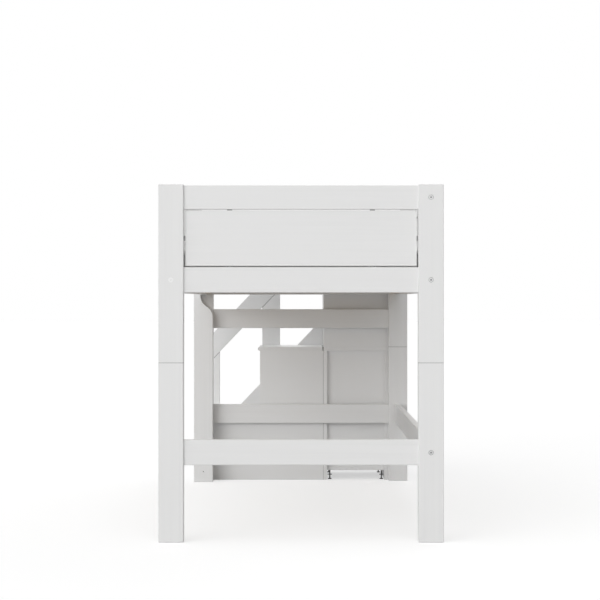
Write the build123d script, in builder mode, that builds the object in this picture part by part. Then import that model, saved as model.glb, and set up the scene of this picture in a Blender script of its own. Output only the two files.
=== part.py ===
from build123d import *
import os
from math import atan2, cos

# Loft bed for a 900 x 2000 mattress, with a storage staircase across its far end.
# Millimetres. X runs across the bed: -X is the open front, +X the wall side.
# Y runs along the bed from the near end to the stairs, Z up from the floor.
# The origin is on the floor, in the middle of the overall length and width.

# Mattress and deck
mattress_width = 900
mattress_length = 2000
mattress_height = 110
mattress_crown = 6
mattress_bulge = 4
mattress_edge = 16
mattress_play = 1.5
slat_count = 14
slat_width = 70
slat_thickness = 18
slat_end_play = 3
ledge_width = 22
ledge_height = 24
ledge_rise = 7

# Posts, each in two halves joined by dowels
post_width = 90
post_depth = 45
post_over_rail = 3.5
post_split = 642
post_edge = 2
post_joint_chamfer = 0.8
dowel_diameter = 10
dowel_length = 60
dowel_pitch = 44

# Rails
rail_thickness = 27
rail_edge = 2
rail_height = 91
lower_rail_bottom = 275.5
mid_rail_gap = 70.5
bed_rail_bottom = 893
guard_rise = 293.5
top_rail_height = 86.5
tenon_length = 20
tenon_thickness = 12
tenon_shoulder = 12
joint_play = 0.1

# Guard panels, held in the frame by flat pegs with a gap all round
panel_thickness = 18
panel_edge = 1.5
panel_gap_top = 3.5
panel_gap_bottom = 4.5
panel_gap_side = 6
peg_width = 18
peg_thickness = 6
peg_depth = 10
end_peg_offset = 256
entry_peg_offset = 130
wall_peg_offsets = (300, 850)

# Bolts and barrel nuts that pull the side rails onto the posts
bolt_diameter = 8
bolt_head_diameter = 18
bolt_head_height = 4
bolt_head_sink = 2
bolt_socket = 6
bolt_socket_depth = 3
bolt_play = 0.4
nut_diameter = 14
nut_length = 20
nut_setback = 40
nut_play = 0.1
bolt_past_nut = 10
cap_dimple = 2.4

# Shanks, dowels, bolt heads and their holes have flat sides, so that their meshes stay light
shank_sides = 12
head_sides = 24

# Front guard and the notched upright at its far end
front_board_gap = 38.5
upright_width = 90
upright_near_y = 165
upright_middle_y = 1045
guard_bolt_rise = 22
guard_bolt_cover = 2.5
notched_thickness = 57
notch_drop = 6.5
notch_rise = 101.5
notched_screw_height = 50
notched_screw_diameter = 5

# Entry from the stairs
entry_width = 322
entry_post_width = 90

# Stairs
board_thickness = 18
board_chamfer = 0.8
step_count = 3
top_step_drop = 24
step_run = 306.5
first_step_depth = 302
tread_nose = 10
nose_radius = 8
stair_depth = 385
lid_side_play = 1
lid_gap = 5
bin_floor_height = 20
bin_floor_thickness = 12

# Hinges of the two lids
hinge_length = 60
hinge_knuckles = 3
hinge_inset = 70
hinge_wall_play = 0.3
knuckle_play = 0.25
hinge_pin_radius = 1.2
hinge_running_play = 0.05
leaf_thickness = 1
leaf_height = 15
leaf_relief = 0.5

# Cabinet under the top step
cabinet_bottom = 44
cabinet_back_recess = 20
cabinet_back_thickness = 12
niche_lip_height = 105

# Levelling feet
foot_side_inset = 13
foot_near_inset = 16
foot_far_inset = 36
foot_floor_gap = 0.5
foot_pad_diameter = 17
foot_pad_height = 4
foot_stem_diameter = 6
foot_stem_rise = 2
foot_nut_diameter = 22
foot_nut_thickness = 3
foot_nut_height = 22
foot_thread_play = 0.05

# Guard on the far side of the stairs
guard_thickness = 27
guard_post_width = 90
handrail_width = 90
lower_board_drop = 505
platform_board_height = 90
platform_board_rise = 80

# Across the bed
inner_half_width = mattress_width / 2 + mattress_play
side_rail_x = inner_half_width + rail_thickness / 2
side_rail_outer = inner_half_width + rail_thickness
post_inner_x = side_rail_x - post_width / 2
half_width = side_rail_x + post_width / 2

# Along the bed
inner_length = mattress_length + 2 * mattress_play
frame_length = inner_length + 2 * post_depth
total_length = frame_length + stair_depth + guard_thickness
near_face = -total_length / 2
far_face = near_face + frame_length
near_post_y = near_face + post_depth / 2
far_post_y = far_face - post_depth / 2
near_post_inner = near_face + post_depth
far_post_inner = far_face - post_depth
bed_middle_y = (near_face + far_face) / 2
stair_near = far_face
stair_far = stair_near + stair_depth

# Upwards from the floor
bed_rail_top = bed_rail_bottom + rail_height
mid_rail_top = bed_rail_bottom - mid_rail_gap
top_rail_top = bed_rail_top + guard_rise
top_rail_bottom = top_rail_top - top_rail_height
post_height = top_rail_top + post_over_rail
panel_bottom = bed_rail_top + panel_gap_bottom
panel_top = top_rail_bottom - panel_gap_top
slat_bottom = bed_rail_bottom + ledge_rise + ledge_height
deck_height = slat_bottom + slat_thickness
step_rise = (bed_rail_top - top_step_drop) / step_count

# Stairs, across the bed
cabinet_right = post_inner_x
riser_1 = tread_nose - half_width
riser_2 = riser_1 + first_step_depth
riser_3 = riser_2 + step_run
entry_post_right = cabinet_right - entry_width
entry_post_left = entry_post_right - entry_post_width

os.makedirs("parts", exist_ok=True)


def finish(piece, label):
    """Name a finished piece and write it."""
    piece.part.label = label
    export_step(piece.part, f"parts/{label}.step")


def section_plane(middle, grain):
    """A plane through a point, square to the grain, with its second axis up where it can be."""
    if grain == Axis.X:
        return Plane(origin=middle, x_dir=(0, 1, 0), z_dir=(1, 0, 0))
    if grain == Axis.Y:
        return Plane(origin=middle, x_dir=(1, 0, 0), z_dir=(0, -1, 0))
    return Plane(origin=middle, x_dir=(1, 0, 0), z_dir=(0, 0, 1))


def add_board(x_range, y_range, z_range, grain, edge):
    """Add a straight board to the open part, its long edges eased."""
    ranges = (x_range, y_range, z_range)
    middle = [(low + high) / 2 for low, high in ranges]
    size_x, size_y, size_z = [high - low for low, high in ranges]
    if grain == Axis.X:
        across, up, along = size_y, size_z, size_x
    elif grain == Axis.Y:
        across, up, along = size_x, size_z, size_y
    else:
        across, up, along = size_x, size_y, size_z
    with BuildSketch(section_plane(middle, grain), mode=Mode.PRIVATE) as section:
        Rectangle(across, up)
        chamfer(vertices(), edge)
    extrude(section.sketch, amount=along / 2, both=True)


def block(x_range, y_range, z_range, mode=Mode.ADD):
    """Add or cut a plain block in the open part."""
    ranges = (x_range, y_range, z_range)
    with Locations(tuple((low + high) / 2 for low, high in ranges)):
        Box(*[high - low for low, high in ranges], mode=mode)


def around(middle, size, extra=0):
    """The range of a size about its middle, a little wider each side."""
    return (middle - size / 2 - extra, middle + size / 2 + extra)


def rod(plane, radius, length, mode=Mode.ADD):
    """Add or cut a round bar that starts on a plane."""
    with BuildSketch(plane, mode=Mode.PRIVATE) as section:
        Circle(radius)
    extrude(section.sketch, amount=length, mode=mode)


def shank(plane, radius, length, mode=Mode.ADD, sides=shank_sides):
    """Add or cut a bar with flat sides: a bar lies inside its radius and a hole outside it."""
    with BuildSketch(plane, mode=Mode.PRIVATE) as section:
        RegularPolygon(radius, sides, major_radius=mode == Mode.ADD)
    extrude(section.sketch, amount=length, mode=mode)


def facing(x, y, z, direction):
    """A plane at a point that looks along a direction."""
    return Plane(origin=(x, y, z), z_dir=direction)


# Heights of the rails, each as its bottom and top
lower_span = (lower_rail_bottom, lower_rail_bottom + rail_height)
mid_span = (mid_rail_top - rail_height, mid_rail_top)
bed_span = (bed_rail_bottom, bed_rail_top)
top_span = (top_rail_bottom, top_rail_top)


def middle_of(span):
    """The middle of a range."""
    return (span[0] + span[1]) / 2


# Pegs: the middle and the size of each one, by the panel that it holds
top_gap_z = panel_top + panel_gap_top / 2
bottom_gap_z = panel_bottom - panel_gap_bottom / 2
top_peg_length = panel_gap_top + 2 * peg_depth
bottom_peg_length = panel_gap_bottom + 2 * peg_depth
side_peg_length = panel_gap_side + 2 * peg_depth
side_peg_z = middle_of((panel_bottom, panel_top))
side_gap_x = post_inner_x - panel_gap_side / 2
entry_gap_x = entry_post_left - panel_gap_side / 2
entry_panel_x = (entry_post_left - post_inner_x) / 2


def end_pegs(y_middle, x_middle, offset, side_gaps):
    """Pegs of a panel that stands across the bed."""
    pegs = []
    for x in (x_middle - offset, x_middle + offset):
        pegs.append(((x, y_middle, top_gap_z), (peg_width, peg_thickness, top_peg_length)))
        pegs.append(((x, y_middle, bottom_gap_z), (peg_width, peg_thickness, bottom_peg_length)))
    for x in side_gaps:
        pegs.append(((x, y_middle, side_peg_z), (side_peg_length, peg_thickness, peg_width)))
    return pegs


def wall_pegs():
    """Pegs of the panel along the wall side."""
    pegs = []
    for offset in wall_peg_offsets:
        for y in (bed_middle_y - offset, bed_middle_y + offset):
            pegs.append(((side_rail_x, y, top_gap_z), (peg_thickness, peg_width, top_peg_length)))
            pegs.append(((side_rail_x, y, bottom_gap_z), (peg_thickness, peg_width, bottom_peg_length)))
    return pegs


near_pegs = end_pegs(near_post_y, 0, end_peg_offset, (-side_gap_x, side_gap_x))
far_pegs = end_pegs(far_post_y, entry_panel_x, entry_peg_offset, (-side_gap_x, entry_gap_x))
side_pegs = wall_pegs()


def add_pegs(pegs):
    """Add the flat pegs themselves."""
    for middle, size in pegs:
        block(*[around(m, s) for m, s in zip(middle, size)])


def cut_pegs(pegs):
    """Cut the slots that the pegs sit in."""
    for middle, size in pegs:
        block(*[around(m, s, joint_play) for m, s in zip(middle, size)], mode=Mode.SUBTRACT)


def cut_mortise(side, y_middle, span):
    """Cut the mortise for a rail's tenon into a post."""
    reach = post_inner_x + tenon_length + joint_play
    x_range = sorted((side * (post_inner_x - joint_play), side * reach))
    z_range = (span[0] + tenon_shoulder - joint_play, span[1] - tenon_shoulder + joint_play)
    block(x_range, around(y_middle, tenon_thickness, joint_play), z_range, mode=Mode.SUBTRACT)


def add_tenon(x_shoulder, side, y_middle, span):
    """Add a stub tenon to a rail's end."""
    x_range = sorted((x_shoulder, x_shoulder + side * tenon_length))
    z_range = (span[0] + tenon_shoulder, span[1] - tenon_shoulder)
    block(x_range, around(y_middle, tenon_thickness), z_range)


# Posts: where each stands, which way its end face looks, and what meets it
post_places = {
    "post_near_left": (-1, near_post_y, -1),
    "post_near_right": (1, near_post_y, -1),
    "post_far_left": (-1, far_post_y, 1),
    "post_far_right": (1, far_post_y, 1),
}
post_rails = {
    "post_near_left": (lower_span, bed_span, top_span),
    "post_near_right": (lower_span, bed_span, top_span),
    "post_far_left": (lower_span, mid_span, bed_span, top_span),
    "post_far_right": (lower_span, mid_span, bed_span),
}
wall_side_spans = (lower_span, bed_span, top_span)
front_side_spans = (bed_span,)
post_bolts = {-1: front_side_spans, 1: wall_side_spans}
head_recess = bolt_head_sink + bolt_head_height


def dowel_places(x_middle, y_middle):
    """The two dowels of one post joint."""
    return [(x_middle - dowel_pitch / 2, y_middle), (x_middle + dowel_pitch / 2, y_middle)]


def cut_dowels(x_middle, y_middle, z_joint):
    """Cut the dowel holes of one joint."""
    for x, y in dowel_places(x_middle, y_middle):
        start = facing(x, y, z_joint - dowel_length / 2 - joint_play, (0, 0, 1))
        shank(start, dowel_diameter / 2 + joint_play, dowel_length + 2 * joint_play, Mode.SUBTRACT)


def make_post(name, half):
    """Make the lower or the upper half of one post."""
    side, y_middle, outward = post_places[name]
    upper = half == "upper"
    low, high = (post_split, post_height) if upper else (0, post_split)
    x_range = around(side * side_rail_x, post_width)
    with BuildPart() as post:
        add_board(x_range, around(y_middle, post_depth), (low, high), Axis.Z, post_edge)
        foot, head = faces().sort_by(Axis.Z)[0], faces().sort_by(Axis.Z)[-1]
        chamfer(foot.edges(), post_joint_chamfer if upper else post_edge)
        chamfer(head.edges(), post_edge if upper else post_joint_chamfer)
        for span in post_rails[name]:
            if low < middle_of(span) < high:
                cut_mortise(side, y_middle, span)
        for span in post_bolts[side]:
            if low < middle_of(span) < high:
                end_face = y_middle + outward * post_depth / 2
                start = facing(side * side_rail_x, end_face, middle_of(span), (0, -outward, 0))
                recess_radius = bolt_head_diameter / 2 + bolt_play
                shank(start, recess_radius, head_recess, Mode.SUBTRACT, head_sides)
                shank(start, bolt_diameter / 2 + bolt_play, post_depth, Mode.SUBTRACT)
        cut_dowels(side * side_rail_x, y_middle, post_split)
        if upper and outward < 0:
            cut_pegs(near_pegs)
        if upper and outward > 0 and side < 0:
            cut_pegs(far_pegs)
    finish(post, f"{name}_{half}")


for post_name in post_places:
    make_post(post_name, "lower")
    make_post(post_name, "upper")

entry_post_x = (entry_post_left + entry_post_right) / 2
dowel_joints = [(side * side_rail_x, y, post_split) for side, y, _ in post_places.values()]
dowel_joints.append((entry_post_x, far_post_y, bed_rail_top))

with BuildPart() as dowels:
    for joint_x, joint_y, joint_z in dowel_joints:
        for dowel_x, dowel_y in dowel_places(joint_x, joint_y):
            lower_end = facing(dowel_x, dowel_y, joint_z - dowel_length / 2, (0, 0, 1))
            shank(lower_end, dowel_diameter / 2, dowel_length)
finish(dowels, "dowels")


# Rails across the bed, with a tenon in each post
def make_end_rail(label, y_middle, span, pegs=()):
    """Make one rail between the two posts of an end."""
    with BuildPart() as rail:
        add_board((-post_inner_x, post_inner_x), around(y_middle, rail_thickness), span, Axis.X, rail_edge)
        add_tenon(-post_inner_x, -1, y_middle, span)
        add_tenon(post_inner_x, 1, y_middle, span)
        cut_pegs(pegs)
        if label == "far_bed_rail":
            cut_dowels(entry_post_x, far_post_y, bed_rail_top)
    finish(rail, label)


make_end_rail("near_top_rail", near_post_y, top_span, near_pegs)
make_end_rail("near_bed_rail", near_post_y, bed_span, near_pegs)
make_end_rail("near_lower_rail", near_post_y, lower_span)
make_end_rail("far_bed_rail", far_post_y, bed_span, far_pegs)
make_end_rail("far_mid_rail", far_post_y, mid_span)
make_end_rail("far_lower_rail", far_post_y, lower_span)

with BuildPart() as far_top_rail:
    add_board((-post_inner_x, entry_post_left), around(far_post_y, rail_thickness), top_span, Axis.X, rail_edge)
    add_tenon(-post_inner_x, -1, far_post_y, top_span)
    add_tenon(entry_post_left, 1, far_post_y, top_span)
    cut_pegs(far_pegs)
finish(far_top_rail, "far_top_rail")

with BuildPart() as entry_post:
    post_span = (bed_rail_top, top_rail_top)
    x_span = (entry_post_left, entry_post_right)
    add_board(x_span, around(far_post_y, rail_thickness), post_span, Axis.Z, rail_edge)
    chamfer(faces().sort_by(Axis.Z)[-1].edges(), post_edge)
    tenon_end = entry_post_left + tenon_length + joint_play
    tenon_span = (top_span[0] + tenon_shoulder - joint_play, top_span[1] - tenon_shoulder + joint_play)
    tenon_across = around(far_post_y, tenon_thickness, joint_play)
    block((entry_post_left - joint_play, tenon_end), tenon_across, tenon_span, mode=Mode.SUBTRACT)
    cut_dowels(entry_post_x, far_post_y, bed_rail_top)
    cut_pegs(far_pegs)
finish(entry_post, "entry_post")

# Guard panels, standing clear of the frame on their pegs
panel_span = (panel_bottom, panel_top)

with BuildPart() as near_end_panel:
    near_panel_x = (panel_gap_side - post_inner_x, post_inner_x - panel_gap_side)
    add_board(near_panel_x, around(near_post_y, panel_thickness), panel_span, Axis.X, panel_edge)
    cut_pegs(near_pegs)
finish(near_end_panel, "near_end_panel")

with BuildPart() as far_guard_panel:
    far_panel_x = (panel_gap_side - post_inner_x, entry_post_left - panel_gap_side)
    add_board(far_panel_x, around(far_post_y, panel_thickness), panel_span, Axis.X, panel_edge)
    cut_pegs(far_pegs)
finish(far_guard_panel, "far_guard_panel")

with BuildPart() as wall_side_panel:
    wall_panel_y = (near_post_inner + panel_gap_side, far_post_inner - panel_gap_side)
    add_board(around(side_rail_x, panel_thickness), wall_panel_y, panel_span, Axis.Y, panel_edge)
    cut_pegs(side_pegs)
finish(wall_side_panel, "wall_side_panel")

with BuildPart() as panel_pegs:
    add_pegs(near_pegs)
    add_pegs(far_pegs)
    add_pegs(side_pegs)
finish(panel_pegs, "panel_pegs")


# Rails along the bed, each end drilled for a bolt and its barrel nut
post_inner_faces = ((near_post_inner, 1), (far_post_inner, -1))


def cut_bolt_ends(side, span):
    """Drill both ends of a side rail for the bolt, and its inner face for the barrel nut."""
    height = middle_of(span)
    for y_end, inward in post_inner_faces:
        end = facing(side * side_rail_x, y_end, height, (0, inward, 0))
        depth = nut_setback + bolt_past_nut + joint_play
        shank(end, bolt_diameter / 2 + bolt_play, depth, Mode.SUBTRACT)
        mouth = facing(side * inner_half_width, y_end + inward * nut_setback, height, (side, 0, 0))
        nut_hole_depth = (rail_thickness + nut_length) / 2 + nut_play
        shank(mouth, nut_diameter / 2 + nut_play, nut_hole_depth, Mode.SUBTRACT)


# Uprights outside the front bed rail that carry the front guard board
guard_board_span = (bed_rail_top + front_board_gap, top_rail_top)
notched_y = far_post_inner - notched_thickness / 2
upright_places = (near_face + upright_near_y, near_face + upright_middle_y)
guard_bolt_heights = (bed_rail_bottom + guard_bolt_rise, middle_of(guard_board_span))
guard_bolt_places = [(y, z) for y in (*upright_places, notched_y) for z in guard_bolt_heights]
guard_bolt_hole = half_width - inner_half_width - guard_bolt_cover
guard_bolt_length = guard_bolt_hole - head_recess


def cut_guard_bolts():
    """Drill for the bolts that go through the front uprights."""
    for y, z in guard_bolt_places:
        start = facing(-half_width, y, z, (1, 0, 0))
        shank(start, bolt_head_diameter / 2 + bolt_play, head_recess, Mode.SUBTRACT, head_sides)
        shank(start, bolt_diameter / 2 + joint_play, guard_bolt_hole + joint_play, Mode.SUBTRACT)


def make_side_rail(label, side, span, pegs=()):
    """Make one rail between a near and a far post."""
    with BuildPart() as rail:
        y_range = (near_post_inner, far_post_inner)
        add_board(around(side * side_rail_x, rail_thickness), y_range, span, Axis.Y, rail_edge)
        cut_bolt_ends(side, span)
        cut_pegs(pegs)
        if side < 0:
            cut_guard_bolts()
    finish(rail, label)


make_side_rail("wall_top_rail", 1, top_span, side_pegs)
make_side_rail("wall_bed_rail", 1, bed_span, side_pegs)
make_side_rail("wall_lower_rail", 1, lower_span)
make_side_rail("front_bed_rail", -1, bed_span)

with BuildPart() as front_guard_board:
    front_board_y = (near_post_inner, far_post_inner)
    add_board(around(-side_rail_x, rail_thickness), front_board_y, guard_board_span, Axis.Y, rail_edge)
    cut_guard_bolts()
finish(front_guard_board, "front_guard_board")

with BuildPart() as front_guard_uprights:
    upright_span = (bed_rail_bottom, top_rail_top)
    for upright_y in upright_places:
        x_span = (-half_width, -side_rail_outer)
        add_board(x_span, around(upright_y, upright_width), upright_span, Axis.Z, rail_edge)
    cut_guard_bolts()
finish(front_guard_uprights, "front_guard_uprights")

# The notched upright: a wide board below, drawn in by an S-curve to pass outside the bed rail
notch_end = bed_rail_bottom - notch_drop
notch_start = notch_end - notch_rise
notch_middle = ((-post_inner_x - side_rail_outer) / 2, (notch_start + notch_end) / 2)

with BuildPart() as notched_upright:
    with BuildSketch(Plane.XZ.offset(notched_thickness - far_post_inner)):
        with BuildLine():
            lower_arc = TangentArc((-post_inner_x, notch_start), notch_middle, tangent=(0, 1))
            TangentArc(notch_middle, (-side_rail_outer, notch_end), tangent=lower_arc % 1)
            Polyline(
                (-side_rail_outer, notch_end),
                (-side_rail_outer, top_rail_top),
                (-half_width, top_rail_top),
                (-half_width, 0),
                (-post_inner_x, 0),
                (-post_inner_x, notch_start),
            )
        make_face()
    extrude(amount=-notched_thickness)
    chamfer(faces().sort_by(Axis.Y)[0].edges(), panel_edge)
    screw = facing(-side_rail_x, far_post_inner, notched_screw_height, (0, -1, 0))
    shank(screw, notched_screw_diameter / 2, notched_thickness, Mode.SUBTRACT)
    cut_guard_bolts()
finish(notched_upright, "notched_upright")


# Bolts, barrel nuts and the one cap
def add_bolt(plane, length):
    """Add a bolt that starts with its head on a plane, with a hexagon socket."""
    shank(plane, bolt_head_diameter / 2, bolt_head_height, sides=head_sides)
    shank(plane.offset(bolt_head_height), bolt_diameter / 2, length)
    shank(plane, bolt_socket / 2, bolt_socket_depth, Mode.SUBTRACT, sides=6)


post_bolt_length = post_depth - head_recess + nut_setback + bolt_past_nut

with BuildPart() as frame_bolts:
    for side, y_post, outward in post_places.values():
        for bolt_span in post_bolts[side]:
            head_y = y_post + outward * (post_depth / 2 - bolt_head_sink)
            head = facing(side * side_rail_x, head_y, middle_of(bolt_span), (0, -outward, 0))
            add_bolt(head, post_bolt_length)
    for bolt_y, bolt_z in guard_bolt_places:
        add_bolt(facing(bolt_head_sink - half_width, bolt_y, bolt_z, (1, 0, 0)), guard_bolt_length)
finish(frame_bolts, "frame_bolts")

with BuildPart() as barrel_nuts:
    for side in (-1, 1):
        for bolt_span in post_bolts[side]:
            for y_end, inward in post_inner_faces:
                nut_y = y_end + inward * nut_setback
                nut_x = side * (side_rail_x - nut_length / 2)
                nut_end = facing(nut_x, nut_y, middle_of(bolt_span), (side, 0, 0))
                shank(nut_end, nut_diameter / 2, nut_length)
            thread = facing(side * side_rail_x, near_face, middle_of(bolt_span), (0, 1, 0))
            shank(thread, bolt_diameter / 2 + joint_play, frame_length, Mode.SUBTRACT)
finish(barrel_nuts, "barrel_nuts")

with BuildPart() as bolt_cap:
    cap_face = facing(-side_rail_x, near_face, middle_of(bed_span), (0, 1, 0))
    cap_radius = bolt_head_diameter / 2 + bolt_play - joint_play
    shank(cap_face, cap_radius, bolt_head_sink, sides=head_sides)
    shank(cap_face, bolt_socket / 2 - joint_play, bolt_head_sink + bolt_socket_depth / 2, sides=6)
    shank(cap_face, cap_dimple / 2, bolt_head_sink / 2, Mode.SUBTRACT)
finish(bolt_cap, "bolt_cap")

# Deck: two ledges on the bed rails, the slats across them and the mattress
with BuildPart() as slat_ledges:
    for side in (-1, 1):
        ledge_x = sorted((side * (inner_half_width - ledge_width), side * inner_half_width))
        ledge_span = (slat_bottom - ledge_height, slat_bottom)
        add_board(ledge_x, (near_post_inner, far_post_inner), ledge_span, Axis.Y, panel_edge)
finish(slat_ledges, "slat_ledges")

slat_pitch = inner_length / slat_count

with BuildPart() as slats:
    for index in range(slat_count):
        slat_y = near_post_inner + slat_pitch * (index + 0.5)
        slat_x = (slat_end_play - inner_half_width, inner_half_width - slat_end_play)
        add_board(slat_x, around(slat_y, slat_width), (slat_bottom, deck_height), Axis.X, panel_edge)
finish(slats, "slats")

with BuildPart() as mattress:
    half_mattress = mattress_width / 2
    edge_x = half_mattress - mattress_bulge
    shoulder = mattress_height - mattress_crown
    with BuildSketch(Plane(origin=(0, bed_middle_y, deck_height), x_dir=(1, 0, 0), z_dir=(0, -1, 0))):
        with BuildLine():
            Line((-edge_x, 0), (edge_x, 0))
            ThreePointArc((edge_x, 0), (half_mattress, shoulder / 2), (edge_x, shoulder))
            ThreePointArc((edge_x, shoulder), (0, mattress_height), (-edge_x, shoulder))
            ThreePointArc((-edge_x, shoulder), (-half_mattress, shoulder / 2), (-edge_x, 0))
        make_face()
    extrude(amount=mattress_length / 2, both=True)
    fillet(edges().filter_by(GeomType.LINE).group_by(Axis.Z)[-1], mattress_edge)
finish(mattress, "mattress")


# Stairs: stepped side panels, risers and bin floors, all plain boards
def add_profile(points, y_range):
    """Add a flat board cut to an outline in X and Z."""
    with BuildSketch(Plane.XZ.offset(-y_range[0]), mode=Mode.PRIVATE) as outline:
        with BuildLine():
            Polyline(*points, close=True)
        make_face()
    extrude(outline.sketch, amount=y_range[0] - y_range[1])


def ease_faces(edge=board_chamfer):
    """Ease the edges of the near and far faces of flat boards."""
    chamfer(faces().filter_by(Axis.Y).edges(), edge)


def add_panel(x_range, y_range, z_range):
    """Add a plain sheet board with all its edges eased."""
    block(x_range, y_range, z_range)
    chamfer(edges(), board_chamfer)


tread_over = [step_rise * (step + 1) for step in range(step_count)]
tread_under = [top - board_thickness for top in tread_over]
near_board_y = (stair_near, stair_near + board_thickness)
far_board_y = (stair_far - board_thickness, stair_far)
between_boards_y = (near_board_y[1], far_board_y[0])
stepped_outline = (
    (riser_1, 0),
    (riser_3, 0),
    (riser_3, tread_under[1]),
    (riser_2, tread_under[1]),
    (riser_2, tread_under[0]),
    (riser_1, tread_under[0]),
)

with BuildPart() as stair_side_near:
    add_profile(stepped_outline, near_board_y)
    ease_faces()
finish(stair_side_near, "stair_side_near")

with BuildPart() as stair_side_far:
    add_profile(stepped_outline, far_board_y)
    ease_faces()
finish(stair_side_far, "stair_side_far")

with BuildPart() as step_1_riser:
    add_panel((riser_1, riser_1 + board_thickness), between_boards_y, (0, tread_under[0]))
finish(step_1_riser, "step_1_riser")

with BuildPart() as step_2_riser:
    add_panel((riser_2, riser_2 + board_thickness), between_boards_y, (0, tread_under[1]))
finish(step_2_riser, "step_2_riser")

with BuildPart() as bin_floors:
    floor_span = (bin_floor_height, bin_floor_height + bin_floor_thickness)
    block((riser_1 + board_thickness, riser_2), between_boards_y, floor_span)
    block((riser_2 + board_thickness, riser_3), between_boards_y, floor_span)
finish(bin_floors, "bin_floors")


# Lids of the first two steps, with a rounded nose and a gap for the hinge behind
nose_share = 0.45


def make_tread(label, x_range, y_range, top):
    """Make one step board."""
    with BuildPart() as tread:
        block(x_range, y_range, (top - board_thickness, top))
        nose = edges().filter_by(Axis.Y).group_by(Axis.X)[0]
        fillet(nose, min(nose_radius, board_thickness * nose_share))
    finish(tread, label)


lid_y = (stair_near + lid_side_play, stair_far - lid_side_play)
make_tread("step_1_lid", (riser_1 - tread_nose, riser_2 - lid_gap), lid_y, tread_over[0])
make_tread("step_2_lid", (riser_2 - tread_nose, riser_3 - lid_gap), lid_y, tread_over[1])
make_tread("step_3_tread", (riser_3 - tread_nose, cabinet_right), (stair_near, stair_far), tread_over[2])

# Hinges, two to a lid: the pin lies in the gap behind the lid, level with its top
hinge_places = (stair_near + hinge_inset, stair_far - hinge_inset)
knuckle_radius = lid_gap / 2 - hinge_wall_play
knuckle_pitch = hinge_length / hinge_knuckles
fixed_knuckles = range(0, hinge_knuckles, 2)
moving_knuckles = range(1, hinge_knuckles, 2)
lid_backs = ((riser_2, tread_over[0]), (riser_3, tread_over[1]))


def add_leaf(wall_x, top, hinge_y, side, knuckles):
    """Add one leaf: side +1 lies on the fixed wall, side -1 on the lid's back edge."""
    axis_x = wall_x - lid_gap / 2
    axis_z = top - knuckle_radius
    back = axis_x + side * lid_gap / 2
    plate_x = sorted((back, back - side * leaf_thickness))
    relief_z = axis_z - knuckle_radius - leaf_relief
    first_y = hinge_y - hinge_length / 2
    block(plate_x, around(hinge_y, hinge_length), (axis_z - leaf_height, relief_z))
    for index in knuckles:
        low = first_y + index * knuckle_pitch + knuckle_play / 2
        knuckle_y = (low, low + knuckle_pitch - knuckle_play)
        block(plate_x, knuckle_y, (relief_z, axis_z))
        block(sorted((axis_x, back)), knuckle_y, (axis_z - knuckle_radius, axis_z))
        shank(facing(axis_x, low, axis_z, (0, 1, 0)), knuckle_radius, knuckle_pitch - knuckle_play)
    bore = facing(axis_x, first_y, axis_z, (0, 1, 0))
    drill = shank if side > 0 else rod
    drill(bore, hinge_pin_radius + hinge_running_play, hinge_length, Mode.SUBTRACT)


with BuildPart() as hinge_fixed_leaves:
    for wall_x, lid_top in lid_backs:
        for hinge_y in hinge_places:
            add_leaf(wall_x, lid_top, hinge_y, 1, fixed_knuckles)
finish(hinge_fixed_leaves, "hinge_fixed_leaves")

with BuildPart() as step_1_hinge_leaves:
    for hinge_y in hinge_places:
        add_leaf(*lid_backs[0], hinge_y, -1, moving_knuckles)
finish(step_1_hinge_leaves, "step_1_hinge_leaves")

with BuildPart() as step_2_hinge_leaves:
    for hinge_y in hinge_places:
        add_leaf(*lid_backs[1], hinge_y, -1, moving_knuckles)
finish(step_2_hinge_leaves, "step_2_hinge_leaves")

with BuildPart() as hinge_pins:
    for wall_x, lid_top in lid_backs:
        for hinge_y in hinge_places:
            pin_start = hinge_y - hinge_length / 2
            pin = facing(wall_x - lid_gap / 2, pin_start, lid_top - knuckle_radius, (0, 1, 0))
            shank(pin, hinge_pin_radius, hinge_length)
finish(hinge_pins, "hinge_pins")

# Cabinet under the top step: open shelves below, a bin with a low lip above, both open to the far side
inside_x = (riser_3 + board_thickness, cabinet_right - board_thickness)
side_boards_x = ((riser_3, inside_x[0]), (inside_x[1], cabinet_right))
back_near = stair_near + cabinet_back_recess
back_far = back_near + cabinet_back_thickness

with BuildPart() as cabinet_side_boards:
    for board_x in side_boards_x:
        block(board_x, (stair_near, stair_far), (0, tread_under[1]))
        block(board_x, between_boards_y, (tread_over[1], tread_under[2]))
    chamfer(edges(), board_chamfer)
finish(cabinet_side_boards, "cabinet_side_boards")

foot_x = (inside_x[0] + foot_side_inset, inside_x[1] - foot_side_inset)
foot_y = (back_near + foot_near_inset, stair_far - foot_far_inset)
foot_hole_radius = foot_stem_diameter / 2 + foot_thread_play

shelf_bottom = cabinet_bottom + board_thickness

with BuildPart() as cabinet_shelves:
    block(inside_x, (back_near, stair_far), (cabinet_bottom, shelf_bottom))
    shelf_span = around(middle_of((shelf_bottom, tread_under[1])), board_thickness)
    block(inside_x, (back_far, stair_far), shelf_span)
    block((riser_3, cabinet_right), (stair_near, stair_far), (tread_under[1], tread_over[1]))
    chamfer(edges(), board_chamfer)
    for x in foot_x:
        for y in foot_y:
            hole = facing(x, y, cabinet_bottom, (0, 0, 1))
            shank(hole, foot_hole_radius, board_thickness, Mode.SUBTRACT)
finish(cabinet_shelves, "cabinet_shelves")

with BuildPart() as cabinet_back_panel:
    back_span = (shelf_bottom, tread_under[1])
    block(inside_x, (back_near, back_far), back_span)
finish(cabinet_back_panel, "cabinet_back_panel")

with BuildPart() as niche_lip:
    lip_span = (tread_over[1], tread_over[1] + niche_lip_height)
    add_panel((riser_3, cabinet_right), far_board_y, lip_span)
finish(niche_lip, "niche_lip")

with BuildPart() as niche_back:
    add_panel((riser_3, cabinet_right), near_board_y, (tread_over[1], tread_under[2]))
finish(niche_back, "niche_back")


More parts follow.
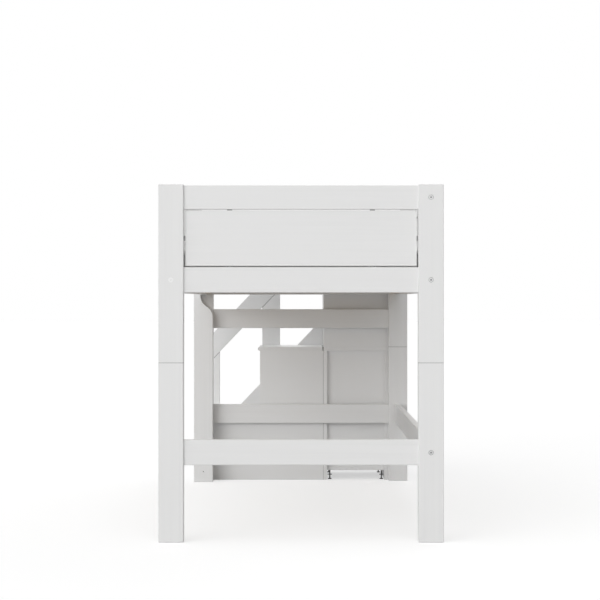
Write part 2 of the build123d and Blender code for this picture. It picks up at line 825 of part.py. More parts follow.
# Levelling feet: a pad, a threaded stem and a flat nut to turn it by
def make_foot(label, x, y):
    """Make one foot about its own upright axis."""
    pad_top = foot_floor_gap + foot_pad_height
    with BuildPart() as foot:
        pad = facing(x, y, foot_floor_gap, (0, 0, 1))
        shank(pad, foot_pad_diameter / 2, foot_pad_height, sides=head_sides)
        stem_length = shelf_bottom + foot_stem_rise - pad_top
        shank(facing(x, y, pad_top, (0, 0, 1)), foot_stem_diameter / 2, stem_length)
        nut_base = facing(x, y, foot_nut_height, (0, 0, 1))
        shank(nut_base, foot_nut_diameter / 2, foot_nut_thickness, sides=6)
    finish(foot, label)


make_foot("foot_near_left", foot_x[0], foot_y[0])
make_foot("foot_near_right", foot_x[1], foot_y[0])
make_foot("foot_far_left", foot_x[0], foot_y[1])
make_foot("foot_far_right", foot_x[1], foot_y[1])

# Guard on the far side of the stairs, parallel to their pitch
pitch = step_rise / step_run
handrail_drop = handrail_width / cos(atan2(step_rise, step_run))
guard_y = (stair_far, stair_far + guard_thickness)
handrail_end_height = top_rail_top
mid_post_left = (riser_1 + riser_3) / 2
newel_right = riser_1 + guard_post_width
mid_post_right = mid_post_left + guard_post_width
platform_posts_x = ((riser_3, riser_3 + guard_post_width), (cabinet_right - guard_post_width, cabinet_right))
top_board_bottom = handrail_end_height - platform_board_height


def handrail_top(x):
    """Height of the handrail's upper edge."""
    return handrail_end_height + (x - riser_3) * pitch


def sloping_outline(x_range, drop):
    """Outline of a sloping board with upright ends, a drop below the handrail."""
    left, right = x_range
    return (
        (left, handrail_top(left) - drop - handrail_drop),
        (right, handrail_top(right) - drop - handrail_drop),
        (right, handrail_top(right) - drop),
        (left, handrail_top(left) - drop),
    )


def mitred_outline(x_range):
    """Outline of a post from the floor up to the handrail's lower edge."""
    left, right = x_range
    under_right = handrail_top(right) - handrail_drop
    return ((left, 0), (right, 0), (right, under_right), (left, handrail_top(left) - handrail_drop))


with BuildPart() as guard_newel:
    add_profile(mitred_outline((riser_1, newel_right)), guard_y)
    ease_faces(rail_edge)
finish(guard_newel, "guard_newel")

with BuildPart() as guard_mid_post:
    add_profile(mitred_outline((mid_post_left, mid_post_right)), guard_y)
    ease_faces(rail_edge)
finish(guard_mid_post, "guard_mid_post")

with BuildPart() as guard_handrail:
    add_profile(sloping_outline((riser_1, riser_3), 0), guard_y)
    ease_faces(rail_edge)
finish(guard_handrail, "guard_handrail")

with BuildPart() as guard_platform_posts:
    for post_x in platform_posts_x:
        add_board(post_x, guard_y, (tread_over[1], top_board_bottom), Axis.Z, rail_edge)
finish(guard_platform_posts, "guard_platform_posts")

with BuildPart() as guard_boards:
    for board_x in ((newel_right, mid_post_left), (mid_post_right, riser_3)):
        add_profile(sloping_outline(board_x, lower_board_drop), guard_y)
    platform_board_bottom = tread_over[2] + platform_board_rise
    platform_board_span = (platform_board_bottom, platform_board_bottom + platform_board_height)
    block((platform_posts_x[0][1], platform_posts_x[1][0]), guard_y, platform_board_span)
    block((riser_3, cabinet_right), guard_y, (top_board_bottom, handrail_end_height))
    ease_faces(rail_edge)
finish(guard_boards, "guard_boards")
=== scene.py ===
import math

import bpy
import numpy as np
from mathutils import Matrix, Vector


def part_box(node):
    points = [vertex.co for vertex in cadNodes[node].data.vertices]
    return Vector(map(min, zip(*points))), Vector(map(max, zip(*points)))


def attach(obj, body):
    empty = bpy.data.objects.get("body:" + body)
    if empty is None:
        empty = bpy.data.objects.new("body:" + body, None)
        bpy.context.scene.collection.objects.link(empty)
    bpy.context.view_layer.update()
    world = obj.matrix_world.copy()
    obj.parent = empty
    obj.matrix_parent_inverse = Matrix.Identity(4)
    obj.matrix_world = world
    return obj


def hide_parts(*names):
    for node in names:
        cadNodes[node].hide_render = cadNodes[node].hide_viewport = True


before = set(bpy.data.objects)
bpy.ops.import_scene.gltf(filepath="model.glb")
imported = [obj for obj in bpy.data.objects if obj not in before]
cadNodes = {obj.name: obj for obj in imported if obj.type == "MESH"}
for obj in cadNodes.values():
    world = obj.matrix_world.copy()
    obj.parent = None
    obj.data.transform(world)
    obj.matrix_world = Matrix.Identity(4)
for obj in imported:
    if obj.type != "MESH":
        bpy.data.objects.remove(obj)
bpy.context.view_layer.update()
print("frame:", len(cadNodes), "pieces from the workshop model")

# Camera: square on to the near end, standing back in the room

cameraView = {
    "place": (0.0, -7.2385, 0.8667),   # metres, in front of the near end
    "focalPixels": 1675.5,             # focal length in pixels of a 600 pixel frame
    "framePixels": 600,
    "centrePixel": 300.98,             # where the bed's middle falls across the frame
    "sensor": 36.0,
}


def placeCamera(view):
    data = bpy.data.cameras.new("endOnCamera")
    data.sensor_width = view["sensor"]
    data.lens = view["focalPixels"] / view["framePixels"] * view["sensor"]
    data.shift_x = (view["framePixels"] / 2 - view["centrePixel"]) / view["framePixels"]
    data.clip_start = 0.1
    data.clip_end = 100
    camera = bpy.data.objects.new("endOnCamera", data)
    camera.location = view["place"]
    camera.rotation_euler = (math.pi / 2, 0, 0)
    bpy.context.scene.collection.objects.link(camera)
    bpy.context.scene.camera = camera


placeCamera(cameraView)
print("camera: in place")


# Materials

def startMaterial(name):
    material = bpy.data.materials.new(name)
    material.use_nodes = True
    tree = material.node_tree
    tree.nodes.clear()
    output = tree.nodes.new("ShaderNodeOutputMaterial")
    shader = tree.nodes.new("ShaderNodeBsdfPrincipled")
    tree.links.new(shader.outputs["BSDF"], output.inputs["Surface"])
    return material, tree, shader


def objectCoordinates(tree, scale, turn=(0, 0, 0)):
    # Object coordinates, turned and stretched so that a pattern runs along a board
    source = tree.nodes.new("ShaderNodeTexCoord")
    mapping = tree.nodes.new("ShaderNodeMapping")
    mapping.inputs["Rotation"].default_value = turn
    mapping.inputs["Scale"].default_value = scale
    tree.links.new(source.outputs["Object"], mapping.inputs["Vector"])
    return mapping.outputs["Vector"]


noiseRange = (0.3, 0.7)   # where most of a noise's values lie


def noise(tree, vector, scale, detail=3.0, roughness=0.5, distortion=0.0):
    node = tree.nodes.new("ShaderNodeTexNoise")
    node.inputs["Scale"].default_value = scale
    node.inputs["Detail"].default_value = detail
    node.inputs["Roughness"].default_value = roughness
    node.inputs["Distortion"].default_value = distortion
    tree.links.new(vector, node.inputs["Vector"])
    return node.outputs["Fac"]


def spread(tree, value, low, high, outLow, outHigh):
    # A value's range from low to high, carried over to another range and held there
    node = tree.nodes.new("ShaderNodeMapRange")
    node.inputs["From Min"].default_value = low
    node.inputs["From Max"].default_value = high
    node.inputs["To Min"].default_value = outLow
    node.inputs["To Max"].default_value = outHigh
    tree.links.new(value, node.inputs["Value"])
    return node.outputs["Result"]


def mathNode(tree, operation, first, second=None):
    node = tree.nodes.new("ShaderNodeMath")
    node.operation = operation
    for socket, value in zip(node.inputs, (first, second)):
        if isinstance(value, (int, float)):
            socket.default_value = value
        elif value is not None:
            tree.links.new(value, socket)
    return node.outputs["Value"]


def blendColours(tree, share, first, second):
    # From the first colour to the second as the share goes from 0 to 1
    node = tree.nodes.new("ShaderNodeMix")
    node.data_type = "RGBA"
    tree.links.new(share, node.inputs["Factor"])
    for socket, value in ((node.inputs["A"], first), (node.inputs["B"], second)):
        if isinstance(value, tuple):
            socket.default_value = (*value, 1)
        else:
            tree.links.new(value, socket)
    return node.outputs["Result"]


def bump(tree, height, depth, before=None):
    # Depth is in metres: how far the surface would rise for a height of 1
    node = tree.nodes.new("ShaderNodeBump")
    node.inputs["Strength"].default_value = 1
    node.inputs["Distance"].default_value = depth
    tree.links.new(height, node.inputs["Height"])
    if before is not None:
        tree.links.new(before, node.inputs["Normal"])
    return node.outputs["Normal"]


# For each kind of fitting, for the shade painted into its hollows: how far it looks, in metres, and how open
# a socket and a free face are
socketShade = {
    "steel": (0.006, 0.50, 0.92),
    "plastic": (0.004, 0.84, 0.97),
}
socketSamples = 16


def openShare(tree, kind):
    # How open a point is to its surroundings: 0 down in a socket, 1 on a free face
    reach, socket, freeFace = socketShade[kind]
    node = tree.nodes.new("ShaderNodeAmbientOcclusion")
    node.samples = socketSamples
    node.inputs["Distance"].default_value = reach
    return spread(tree, node.outputs["AO"], socket, freeFace, 0, 1)


seamEdge = (0.7, 1.2)   # where a joint line ends and the plain face begins, as shares of its width


def seamShade(tree, seam):
    # How far a point lies from the plane of a joint, as a share that is least on the joint line itself, where
    # the painted shade is darkest
    place = objectCoordinates(tree, (1, 1, 1))
    node = tree.nodes.new("ShaderNodeVectorMath")
    node.operation = "DOT_PRODUCT"
    node.inputs[1].default_value = seam["across"]
    tree.links.new(place, node.inputs[0])
    distance = mathNode(tree, "ABSOLUTE", mathNode(tree, "SUBTRACT", node.outputs["Value"], seam["offset"]))
    inner, outer = [seam["width"] * share for share in seamEdge]
    return spread(tree, distance, inner, outer, seam["share"], 1)


lacquerLook = {
    "colour": (0.800, 0.800, 0.797),
    "thinColour": (0.775, 0.775, 0.771),   # where the film lies thin over a soft ring
    # painted shade: the colour of a joint line, standing in for the shade down in the gap between parts
    "paintedJointShade": (0.05, 0.05, 0.05),     # down in a joint
    "roughness": (0.34, 0.44),
    "grainAcross": 70.0,                   # streaks in a metre, across the grain
    "grainAlong": 1.6,
    "grainDepth": 0.00006,
    "peelScale": 260.0,                    # fine ripple that a spray gun leaves
    "peelDepth": 0.000012,
}


def makeLacquer(name, scale, turn, look, seam=None):
    # White satin lacquer over solid wood: the grain shows through as faint long streaks
    material, tree, shader = startMaterial(name)
    along = objectCoordinates(tree, scale, turn)
    level = objectCoordinates(tree, (1, 1, 1))
    streaks = noise(tree, along, 1.0, 5.0, 0.62, 0.4)
    patches = noise(tree, level, 2.3, 2.0)
    peel = noise(tree, level, look["peelScale"], 1.0)
    streakShare = spread(tree, streaks, 0.42, 0.72, 0, 1)
    tone = mathNode(tree, "MULTIPLY", streakShare, spread(tree, patches, *noiseRange, 0.2, 1))
    colour = blendColours(tree, tone, look["colour"], look["thinColour"])
    # Painted shade: a fine dark line along a joint, standing in for the shade in the gap between parts
    if seam:
        colour = blendColours(tree, seamShade(tree, seam), look["paintedJointShade"], colour)
    tree.links.new(colour, shader.inputs["Base Color"])
    tree.links.new(spread(tree, patches, *noiseRange, *look["roughness"]), shader.inputs["Roughness"])
    normal = bump(tree, streaks, look["grainDepth"])
    tree.links.new(bump(tree, peel, look["peelDepth"], normal), shader.inputs["Normal"])
    shader.inputs["IOR"].default_value = 1.46
    return material


def grainScale(axis):
    # Few changes along the grain and many across it
    return tuple(lacquerLook["grainAlong"] if name == axis else lacquerLook["grainAcross"] for name in "xyz")


stairSlope = math.atan2(0.320, 0.3065)   # rise over run

# Joints that get a fine dark line of painted shade, standing in for the shade in the gap: which way each
# plane looks, and how far it is from the origin
jointLines = {
    "postHalves": {"across": (0, 0, 1), "offset": 0.642, "width": 0.0009, "share": 0.35},
    "underHandrail": {
        "across": (-math.sin(stairSlope), 0, math.cos(stairSlope)),
        "offset": 0.7153,
        "width": 0.0022,
        "share": 0.3,
    },
    "cabinetSide": {"across": (1, 0, 0), "offset": 0.1085, "width": 0.0016, "share": 0.3},
}

unturned = (0, 0, 0)
sloping = (0, stairSlope, 0)
postJoint = jointLines["postHalves"]
mitreJoint = jointLines["underHandrail"]

lacquers = {
    "x": makeLacquer("whiteLacquerAcross", grainScale("x"), unturned, lacquerLook),
    "y": makeLacquer("whiteLacquerLengthways", grainScale("y"), unturned, lacquerLook),
    "z": makeLacquer("whiteLacquerUpright", grainScale("z"), unturned, lacquerLook),
    "slope": makeLacquer("whiteLacquerSloping", grainScale("x"), sloping, lacquerLook),
    "post": makeLacquer("whiteLacquerPost", grainScale("z"), unturned, lacquerLook, postJoint),
    "mitre": makeLacquer("whiteLacquerMitre", grainScale("z"), unturned, lacquerLook, mitreJoint),
}

boardLook = {
    "colour": (0.800, 0.800, 0.798),
    "dullColour": (0.786, 0.786, 0.783),
    "roughness": (0.30, 0.40),
    "peelScale": 210.0,
    "peelDepth": 0.00002,
}


def makeBoardPaint(name, look, seam=None):
    # The same white, sprayed on smooth sheet board: no grain, only a fine orange peel
    material, tree, shader = startMaterial(name)
    level = objectCoordinates(tree, (1, 1, 1))
    patches = noise(tree, level, 3.1, 3.0, 0.55)
    peel = noise(tree, level, look["peelScale"], 2.0, 0.45)
    colour = blendColours(tree, spread(tree, patches, *noiseRange, 0, 1), look["colour"], look["dullColour"])
    # Painted shade: a fine dark line along a joint, standing in for the shade in the gap between parts
    if seam:
        colour = blendColours(tree, seamShade(tree, seam), lacquerLook["paintedJointShade"], colour)
    tree.links.new(colour, shader.inputs["Base Color"])
    tree.links.new(spread(tree, patches, *noiseRange, *look["roughness"]), shader.inputs["Roughness"])
    tree.links.new(bump(tree, peel, look["peelDepth"]), shader.inputs["Normal"])
    shader.inputs["IOR"].default_value = 1.46
    return material


lacquers["board"] = makeBoardPaint("whiteLacquerOnBoard", boardLook)
lacquers["boardSeam"] = makeBoardPaint("whiteLacquerOnSides", boardLook, jointLines["cabinetSide"])

pineLook = {
    "earlyWood": (0.735, 0.575, 0.385),
    "lateWood": (0.560, 0.375, 0.200),
    "heartShade": (0.650, 0.470, 0.290),
    "ringPitch": 95.0,
    "ringTurns": 2.2,
    "ringWander": 13.0,
    "lateWoodPower": 2.4,      # the higher, the thinner the dark rings
    "roughness": (0.52, 0.66),
    "grainDepth": 0.00012,
}


def makePine(name, lengthways, across, look):
    # Planed pine: rings as bands that wander along the board, with darker late wood
    material, tree, shader = startMaterial(name)
    stretched = objectCoordinates(tree, tuple(0.9 if axis == lengthways else 9.0 for axis in "xyz"))
    wander = noise(tree, stretched, 1.0, 3.0, 0.5, 0.6)
    fine = objectCoordinates(tree, tuple(6.0 if axis == lengthways else 420.0 for axis in "xyz"))
    fibre = noise(tree, fine, 1.0, 4.0, 0.6)
    level = objectCoordinates(tree, (1, 1, 1))
    patches = noise(tree, level, 2.0, 2.0)
    axes = tree.nodes.new("ShaderNodeSeparateXYZ")
    tree.links.new(level, axes.inputs["Vector"])
    place = mathNode(tree, "MULTIPLY", axes.outputs[across.upper()], look["ringPitch"])
    phase = mathNode(tree, "ADD", place, mathNode(tree, "MULTIPLY", wander, look["ringWander"]))
    wave = mathNode(tree, "SINE", mathNode(tree, "MULTIPLY", phase, look["ringTurns"]))
    rings = spread(tree, wave, -0.2, 1.0, 0, 1)
    rings = mathNode(tree, "POWER", rings, look["lateWoodPower"])
    ground = blendColours(tree, spread(tree, patches, 0.35, 0.7, 0, 1), look["earlyWood"], look["heartShade"])
    share = mathNode(tree, "MULTIPLY", rings, spread(tree, fibre, *noiseRange, 0.45, 0.95))
    tree.links.new(blendColours(tree, share, ground, look["lateWood"]), shader.inputs["Base Color"])
    tree.links.new(spread(tree, fibre, *noiseRange, *look["roughness"]), shader.inputs["Roughness"])
    tree.links.new(bump(tree, fibre, look["grainDepth"]), shader.inputs["Normal"])
    return material


pines = {
    "x": makePine("planedPineAcross", "x", "y", pineLook),
    "y": makePine("planedPineLengthways", "y", "z", pineLook),
    "z": makePine("planedPineUpright", "z", "x", pineLook),
}

# The darkest colour of each look is painted shade, put in the hollows
metalLooks = {
    "zincSteel": {
        "colour": (0.540, 0.540, 0.540),
        "dull": (0.485, 0.485, 0.487),
        "paintedHollowShade": (0.13, 0.13, 0.13),
        "roughness": (0.28, 0.46),
        "scale": 420.0,
        "metallic": 1.0,
    },
    "nickelSteel": {
        "colour": (0.62, 0.61, 0.59),
        "dull": (0.52, 0.51, 0.49),
        "paintedHollowShade": (0.20, 0.20, 0.19),
        "roughness": (0.20, 0.36),
        "scale": 300.0,
        "metallic": 1.0,
    },
    "blackSteel": {
        "colour": (0.060, 0.060, 0.062),
        "dull": (0.035, 0.035, 0.036),
        "paintedHollowShade": (0.020, 0.020, 0.020),
        "roughness": (0.34, 0.50),
        "scale": 350.0,
        "metallic": 0.0,
    },
}


def makeMetal(name, look):
    # Plated steel: cloudy plating, fine turning marks, and painted shade down in a socket
    material, tree, shader = startMaterial(name)
    level = objectCoordinates(tree, (1, 1, 1))
    cloud = noise(tree, level, look["scale"], 3.0, 0.6)
    marks = noise(tree, objectCoordinates(tree, (1, 1, 6)), look["scale"] * 2.5, 2.0)
    share = spread(tree, cloud, *noiseRange, 0, 1)
    plate = blendColours(tree, share, look["colour"], look["dull"])
    free = openShare(tree, "steel")
    # Painted shade: the colour goes dark where the fitting's hollows lie in shade
    tree.links.new(blendColours(tree, free, look["paintedHollowShade"], plate), shader.inputs["Base Color"])
    tree.links.new(spread(tree, cloud, *noiseRange, *look["roughness"]), shader.inputs["Roughness"])
    tree.links.new(bump(tree, marks, 0.00002), shader.inputs["Normal"])
    shader.inputs["Metallic"].default_value = look["metallic"]
    return material


metals = {name: makeMetal(name, look) for name, look in metalLooks.items()}

plasticLook = {
    "colour": (0.89, 0.89, 0.89),
    "shade": (0.87, 0.87, 0.87),
    # the colour of the painted shade in the hollows
    "paintedHollowShade": (0.38, 0.38, 0.38),
    "roughness": (0.36, 0.50),
}


def makePlastic(name, look):
    # Moulded plastic with a faint spark-eroded texture, and painted shade in its hollows
    material, tree, shader = startMaterial(name)
    level = objectCoordinates(tree, (1, 1, 1))
    grains = noise(tree, level, 900.0, 2.0, 0.6)
    flow = noise(tree, level, 60.0, 2.0)
    skin = blendColours(tree, spread(tree, flow, *noiseRange, 0, 1), look["colour"], look["shade"])
    free = openShare(tree, "plastic")
    tree.links.new(blendColours(tree, free, look["paintedHollowShade"], skin), shader.inputs["Base Color"])
    tree.links.new(spread(tree, grains, *noiseRange, *look["roughness"]), shader.inputs["Roughness"])
    tree.links.new(bump(tree, grains, 0.00003), shader.inputs["Normal"])
    return material


whitePlastic = makePlastic("whitePlastic", plasticLook)

tickingLook = {
    "colour": (0.800, 0.800, 0.790),
    # the colour of the painted shade in the weave's hollows
    "shade": (0.720, 0.720, 0.708),
    "threadPitch": 620.0,      # threads in a metre
    "threadDepth": 0.00022,
    "threadWobble": 1.4,
    "roughness": (0.80, 0.92),
}


def ridges(tree, place, turns, wobble):
    # A sine wave along one direction, pushed to and fro by a slow noise
    phase = mathNode(tree, "ADD", mathNode(tree, "MULTIPLY", place, turns), wobble)
    return mathNode(tree, "SINE", phase)


def makeTicking(name, look):
    # Cotton cover: warp and weft cross as two sets of fine ridges, with thicker threads here and there; the
    # hollows between the threads are darkened as painted shade
    material, tree, shader = startMaterial(name)
    level = objectCoordinates(tree, (1, 1, 1))
    axes = tree.nodes.new("ShaderNodeSeparateXYZ")
    tree.links.new(level, axes.inputs["Vector"])
    slub = noise(tree, objectCoordinates(tree, (5, 120, 120)), 1.0, 2.0)
    clouds = noise(tree, level, 7.0, 3.0)
    wobble = mathNode(tree, "MULTIPLY", noise(tree, level, 40.0, 1.0), look["threadWobble"])
    turns = look["threadPitch"] * math.pi
    warp = ridges(tree, axes.outputs["X"], turns, wobble)
    run = mathNode(tree, "ADD", axes.outputs["Y"], axes.outputs["Z"])
    weft = ridges(tree, run, turns, wobble)
    weave = mathNode(tree, "MULTIPLY", warp, weft)
    lit = spread(tree, weave, -1, 1, 0, 1)
    # Painted shade: the colour darkens in the hollows of the weave, by an amount that varies with the slubs
    # and with slow clouds
    hollow = mathNode(tree, "SUBTRACT", 1.0, lit)
    shade = mathNode(tree, "MULTIPLY", hollow, spread(tree, slub, *noiseRange, 0.35, 0.9))
    paintedWeaveShade = mathNode(tree, "MULTIPLY", shade, spread(tree, clouds, *noiseRange, 0.7, 1.0))
    tree.links.new(blendColours(tree, paintedWeaveShade, look["colour"], look["shade"]), shader.inputs["Base Color"])
    tree.links.new(spread(tree, slub, *noiseRange, *look["roughness"]), shader.inputs["Roughness"])
    tree.links.new(bump(tree, lit, look["threadDepth"]), shader.inputs["Normal"])
    shader.inputs["Sheen Weight"].default_value = 0.25
    shader.inputs["Sheen Roughness"].default_value = 0.5
    return material


ticking = makeTicking("cottonTicking", tickingLook)
print("materials: lacquer, pine, steel, plastic and ticking")

# Which way the grain runs in each board, or what else a piece is made of
finishes = {
    "post": ("post_",),
    "mitre": ("guard_newel", "guard_mid_post"),
    "z": ("entry_post", "front_guard_uprights", "notched_upright", "guard_platform_posts"),
    "x": ("near_", "far_"),
    "y": ("wall_", "front_bed_rail", "front_guard_board"),
    "slope": ("guard_handrail", "guard_boards"),
    "boardSeam": ("stair_side_near",),
    "board": (
        "stair_",
        "step_1_lid",
        "step_2_lid",
        "step_1_riser",
        "step_2_riser",
        "step_3_tread",
        "bin_floors",
        "cabinet_",
        "niche_",
    ),
}
otherFinishes = {
    "slats": pines["x"],
    "slat_ledges": pines["y"],
    "dowels": pines["z"],
    "mattress": ticking,
    "panel_pegs": whitePlastic,
    "bolt_cap": whitePlastic,
    "frame_bolts": metals["zincSteel"],
    "barrel_nuts": metals["zincSteel"],
    "hinge_fixed_leaves": metals["nickelSteel"],
    "hinge_pins": metals["nickelSteel"],
    "step_1_hinge_leaves": metals["nickelSteel"],
    "step_2_hinge_leaves": metals["nickelSteel"],
}


def finishFor(name):
    if name in otherFinishes:
        return otherFinishes[name]
    if name.startswith("foot_"):
        return metals["blackSteel"]
    return next(lacquers[key] for key, starts in finishes.items() if name.startswith(starts))


for nodeName, nodeObject in cadNodes.items():
    nodeObject.data.materials.clear()
    nodeObject.data.materials.append(finishFor(nodeName))
print("finishes: on", len(cadNodes), "pieces")


# Mattress

mattressShape = {
    "clear": 0.0012,          # kept free inside the space that the frame leaves
    "corner": 0.035,          # radius of the corners, seen from above
    "gridStep": 0.0085,
    "seamHeight": 0.090,      # of the upper seam above the slats
    "lowSeamHeight": 0.012,
    "shoulder": 0.024,        # how far in the top is round before it is flat
    "topHeight": 0.1035,
    "crown": 0.0055,
    "sideBulge": 0.0035,
    "sidePull": 0.0040,       # how far the long sides draw in between the corners
    "quiltPitch": 0.135,
    "quiltDepth": 0.0075,
    "quiltWidth": 0.022,
    "quiltPower": 1.3,
    "quiltMargin": 0.055,
    "stitchWidth": 0.006,     # of the line that closes the quilting all round
    "stitchShare": 0.4,       # its depth, as a share of the quilting's
    "lowRound": 0.012,        # how far in the bottom is round before it is flat
    "borderRows": 11,
    "pipingRadius": 0.0032,
}


def roundCorners(x, y, halfX, halfY, radius):
    # The square at each corner is carried over to a quarter disc, and the rest stays as it is
    cornerX = np.maximum(np.abs(x) - (halfX - radius), 0) / radius
    cornerY = np.maximum(np.abs(y) - (halfY - radius), 0) / radius
    roundX = cornerX * np.sqrt(1 - cornerY ** 2 / 2)
    roundY = cornerY * np.sqrt(1 - cornerX ** 2 / 2)
    newX = np.sign(x) * (np.minimum(np.abs(x), halfX - radius) + roundX * radius)
    newY = np.sign(y) * (np.minimum(np.abs(y), halfY - radius) + roundY * radius)
    return newX, newY


def drawIn(x, y, halfX, halfY, pull):
    # The sides curve inwards between the corners, most at the middle of each side
    inX = 1 - pull / halfX * np.cos(np.pi / 2 * np.clip(y / halfY, -1, 1)) ** 2 * (np.abs(x) / halfX) ** 3
    inY = 1 - pull / halfY * np.cos(np.pi / 2 * np.clip(x / halfX, -1, 1)) ** 2 * (np.abs(y) / halfY) ** 3
    return x * inX, y * inY


def edgeDistance(x, y, halfX, halfY, radius):
    # How far a point of the plan lies inside the rounded outline
    outX = np.maximum(np.abs(x) - (halfX - radius), 0)
    outY = np.maximum(np.abs(y) - (halfY - radius), 0)
    flat = np.minimum(halfX - np.abs(x), halfY - np.abs(y))
    return np.where((outX > 0) & (outY > 0), radius - np.hypot(outX, outY), flat)


def quiltHeight(x, y, shape):
    # Pillows between two crossing sets of stitched lines: height grows with the distance to the nearest line
    lines = []
    for along in (x + y, x - y):
        turns = along / math.sqrt(2) / shape["quiltPitch"]
        lines.append(np.abs(turns - np.round(turns)) * shape["quiltPitch"])
    nearest = np.minimum(*lines)
    return 1 - np.exp(-((nearest / shape["quiltWidth"]) ** shape["quiltPower"]))


def topSurface(gridX, gridY, halfX, halfY, shape):
    # The shoulder is a quarter ellipse from the seam, then the crown, with the quilt pressed in
    inside = np.clip(edgeDistance(gridX, gridY, halfX, halfY, shape["corner"]), 0, None)
    rise = np.clip(inside / shape["shoulder"], 0, 1)
    shoulder = np.sqrt(1 - (1 - rise) ** 2)
    seam = shape["seamHeight"]
    crown = shape["crown"] * np.cos(np.pi / 2 * gridX / halfX) * np.cos(np.pi / 2 * gridY / halfY) ** 0.5
    height = seam + (shape["topHeight"] - seam) * shoulder + crown * rise
    fade = np.clip((inside - shape["shoulder"]) / (shape["quiltMargin"] - shape["shoulder"]), 0, 1)
    pressed = (quiltHeight(gridX, gridY, shape) - 1) * shape["quiltDepth"]
    offStitch = (inside - shape["quiltMargin"]) / shape["stitchWidth"]
    edgeStitch = -shape["stitchShare"] * shape["quiltDepth"] * np.exp(-(offStitch ** 2))
    return height + pressed * fade ** 2 + edgeStitch


def outlineIndex(countX, countY):
    # The border of a grid of countX by countY points, once round, as indices into it
    grid = np.arange(countX * countY).reshape(countX, countY)
    return np.concatenate([grid[:-1, 0], grid[-1, :-1], grid[:0:-1, -1], grid[0, :0:-1]])


def gridFaces(grid):
    # Each square of an array of point numbers, as four numbers going round
    return np.stack([grid[:-1, :-1], grid[1:, :-1], grid[1:, 1:], grid[:-1, 1:]], axis=-1).reshape(-1, 4)


def meshFrom(name, points, faces, material, smooth=True):
    mesh = bpy.data.meshes.new(name)
    mesh.from_pydata(points.tolist(), [], faces.tolist())
    mesh.polygons.foreach_set("use_smooth", np.full(len(mesh.polygons), smooth))
    mesh.materials.append(material)
    mesh.update()
    piece = bpy.data.objects.new(name, mesh)
    bpy.context.scene.collection.objects.link(piece)
    return piece


def makeMattress(shape):
    low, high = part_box("mattress")
    middle = ((low.x + high.x) / 2, (low.y + high.y) / 2)
    halfX = (high.x - low.x) / 2 - shape["clear"]
    halfY = (high.y - low.y) / 2 - shape["clear"]
    bandX = halfX - shape["sideBulge"]
    bandY = halfY - shape["sideBulge"]
    countX = int(2 * bandX / shape["gridStep"]) | 1
    countY = int(2 * bandY / shape["gridStep"]) | 1
    acrossBed = np.linspace(-bandX, bandX, countX)
    alongBed = np.linspace(-bandY, bandY, countY)
    gridX, gridY = np.meshgrid(acrossBed, alongBed, indexing="ij")
    planX, planY = roundCorners(gridX, gridY, bandX, bandY, shape["corner"])
    height = topSurface(planX, planY, bandX, bandY, shape)
    planX, planY = drawIn(planX, planY, bandX, bandY, shape["sidePull"])
    top = np.stack([planX, planY, height], axis=-1).reshape(-1, 3)
    bottom = np.stack([planX, planY, np.zeros_like(planX)], axis=-1).reshape(-1, 3)
    inside = np.clip(edgeDistance(planX, planY, bandX, bandY, shape["corner"]), 0, None).ravel()
    bottom[:, 2] = shape["lowSeamHeight"] * np.clip(1 - inside / shape["lowRound"], 0, 1) ** 2
    ring = outlineIndex(countX, countY)

    # The border band: rows from the upper seam down to the lower one, bulging between them
    rows = shape["borderRows"]
    share = np.linspace(0, 1, rows)[1:-1, None]
    ringTop, ringLow = top[ring], bottom[ring]
    outward = ringTop[:, :2] / np.linalg.norm(ringTop[:, :2] / [bandX, bandY], axis=1, keepdims=True)
    outward = outward * [1 / bandX, 1 / bandY]
    corner = np.hypot(*outward.T)[:, None]
    outward = outward / corner
    bulge = shape["sideBulge"] * np.sin(np.pi * share[..., None])
    band = ringTop[None] * (1 - share[..., None]) + ringLow[None] * share[..., None]
    band[:, :, :2] += outward[None] * bulge
    points = np.concatenate([top, bottom, band.reshape(-1, 3)])
    place = [*middle, low.z]
    points += place

    topGrid = np.arange(countX * countY).reshape(countX, countY)
    bottomGrid = topGrid + countX * countY
    bandRows = 2 * countX * countY + np.arange((rows - 2) * len(ring)).reshape(rows - 2, len(ring))
    bandGrid = np.concatenate([ring[None], bandRows, (ring + countX * countY)[None]])
    bandGrid = np.concatenate([bandGrid, bandGrid[:, :1]], axis=1)
    faces = np.concatenate([
        gridFaces(topGrid),
        gridFaces(bottomGrid)[:, ::-1],
        gridFaces(bandGrid),
    ])
    cover = meshFrom("mattress_cover", points, faces, ticking)
    return cover, ringTop + place, ringLow + place


mattressCover, upperSeam, lowerSeam = makeMattress(mattressShape)
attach(mattressCover, "bed")
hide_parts("mattress")
print("mattress: quilted cover with", len(mattressCover.data.polygons), "faces")


def carryRound(path, radius, sides=10):
    # A circle carried round a closed path that lies flat: across the path, and up
    ahead = np.roll(path, -1, axis=0) - np.roll(path, 1, axis=0)
    ahead /= np.linalg.norm(ahead, axis=1, keepdims=True)
    across = np.cross(ahead, [0, 0, 1])
    turn = np.linspace(0, 2 * np.pi, sides, endpoint=False)
    sideways = np.cos(turn)[None, :, None] * across[:, None]
    upwards = np.sin(turn)[None, :, None] * np.array([0, 0, 1.0])
    points = path[:, None] + radius * (sideways + upwards)
    grid = np.arange(len(path) * sides).reshape(len(path), sides)
    grid = np.concatenate([grid, grid[:1]])
    grid = np.concatenate([grid, grid[:, :1]], axis=1)
    return points.reshape(-1, 3), gridFaces(grid)


def makePiping(name, path, radius):
    points, faces = carryRound(path, radius)
    piping = meshFrom(name, points, faces, ticking)
    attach(piping, "bed")


makePiping("mattress_piping_upper", upperSeam, mattressShape["pipingRadius"])
makePiping("mattress_piping_lower", lowerSeam, mattressShape["pipingRadius"])
print("mattress: piped seams")

# Room: a pale floor that keeps the shadow, white behind everything, soft light from the left and the front

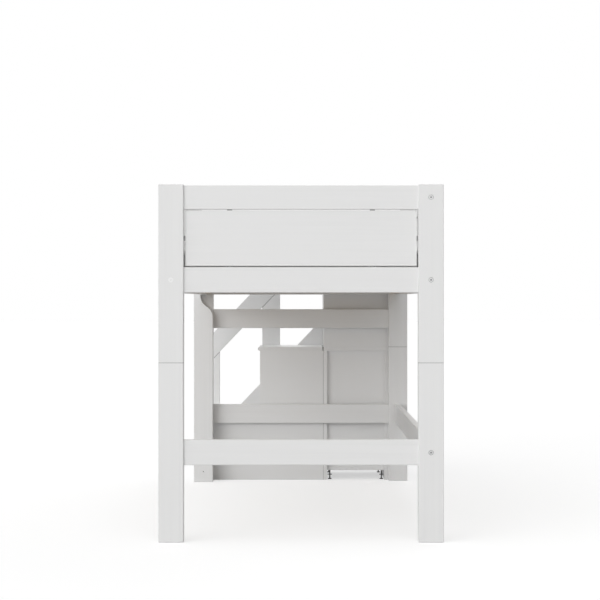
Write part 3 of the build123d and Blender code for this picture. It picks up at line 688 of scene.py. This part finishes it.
roomLook = {
    "floorColour": (0.55, 0.55, 0.55),
    "floorLift": 0.55,            # white added to the floor where the camera sees it
    "floorReach": 60,             # metres from the middle to each side
    "floorDrop": 0.0003,          # kept free under the feet of the posts
    "skyLight": 0.28,             # even light from all round
    "skyColour": (1.0, 1.0, 1.0),
}
windowLooks = {
    "frontWindow": {"towards": (0.05, -1.0, 0.3), "spread": 60, "strength": 0.59},
    "frontRooflight": {"towards": (0.0, -0.7, 1.0), "spread": 60, "strength": 0.09},
    "leftWindow": {"towards": (-0.8, -0.62, 0.42), "spread": 50, "strength": 0.42},
    "lowLeftWindow": {"towards": (-0.5, -0.85, 0.08), "spread": 40, "strength": 1.16},
    "rooflight": {"towards": (-0.3, -0.2, 1.0), "spread": 70, "strength": 1.00},
    "backWindow": {"towards": (0.55, 0.85, 0.6), "spread": 60, "strength": 0.57},
}


def seenRay(tree):
    # 1 for rays that see the room itself: from the camera, a mirror surface or through glass
    path = tree.nodes.new("ShaderNodeLightPath")
    either = mathNode(tree, "MAXIMUM", path.outputs["Is Camera Ray"], path.outputs["Is Glossy Ray"])
    return mathNode(tree, "MAXIMUM", either, path.outputs["Is Transmission Ray"])


def makeRoom(look):
    world = bpy.data.worlds.new("paleRoom")
    bpy.context.scene.world = world
    world.use_nodes = True
    tree = world.node_tree
    tree.nodes.clear()
    output = tree.nodes.new("ShaderNodeOutputWorld")
    background = tree.nodes.new("ShaderNodeBackground")
    background.inputs["Color"].default_value = (*look["skyColour"], 1)
    tree.links.new(spread(tree, seenRay(tree), 0, 1, look["skyLight"], 1.0), background.inputs["Strength"])
    tree.links.new(background.outputs["Background"], output.inputs["Surface"])

    material, floorTree, shader = startMaterial("paleFloor")
    shader.inputs["Base Color"].default_value = (*look["floorColour"], 1)
    shader.inputs["Roughness"].default_value = 0.9
    shader.inputs["Specular IOR Level"].default_value = 0.0
    shader.inputs["Emission Color"].default_value = (1, 1, 1, 1)
    floorTree.links.new(spread(floorTree, seenRay(floorTree), 0, 1, 0, look["floorLift"]),
                        shader.inputs["Emission Strength"])
    corners = np.array([(-1, -1, 0), (1, -1, 0), (1, 1, 0), (-1, 1, 0)], float) * look["floorReach"]
    corners -= [0, 0, look["floorDrop"]]
    floor = meshFrom("floor", corners, np.array([[0, 1, 2, 3]]), material, smooth=False)


def makeWindow(name, look):
    # Light of one direction, softened over a wide angle: it shines back along the direction it lies in
    x, y, z = look["towards"]
    data = bpy.data.lights.new(name, "SUN")
    data.energy = look["strength"]
    data.angle = math.radians(look["spread"])
    light = bpy.data.objects.new(name, data)
    light.rotation_euler = (math.atan2(math.hypot(x, y), z), 0, math.atan2(x, -y))
    bpy.context.scene.collection.objects.link(light)


makeRoom(roomLook)
for windowName, windowLook in windowLooks.items():
    makeWindow(windowName, windowLook)
bpy.context.scene.view_settings.view_transform = "Standard"
print("room: floor, sky and", len(windowLooks), "windows")
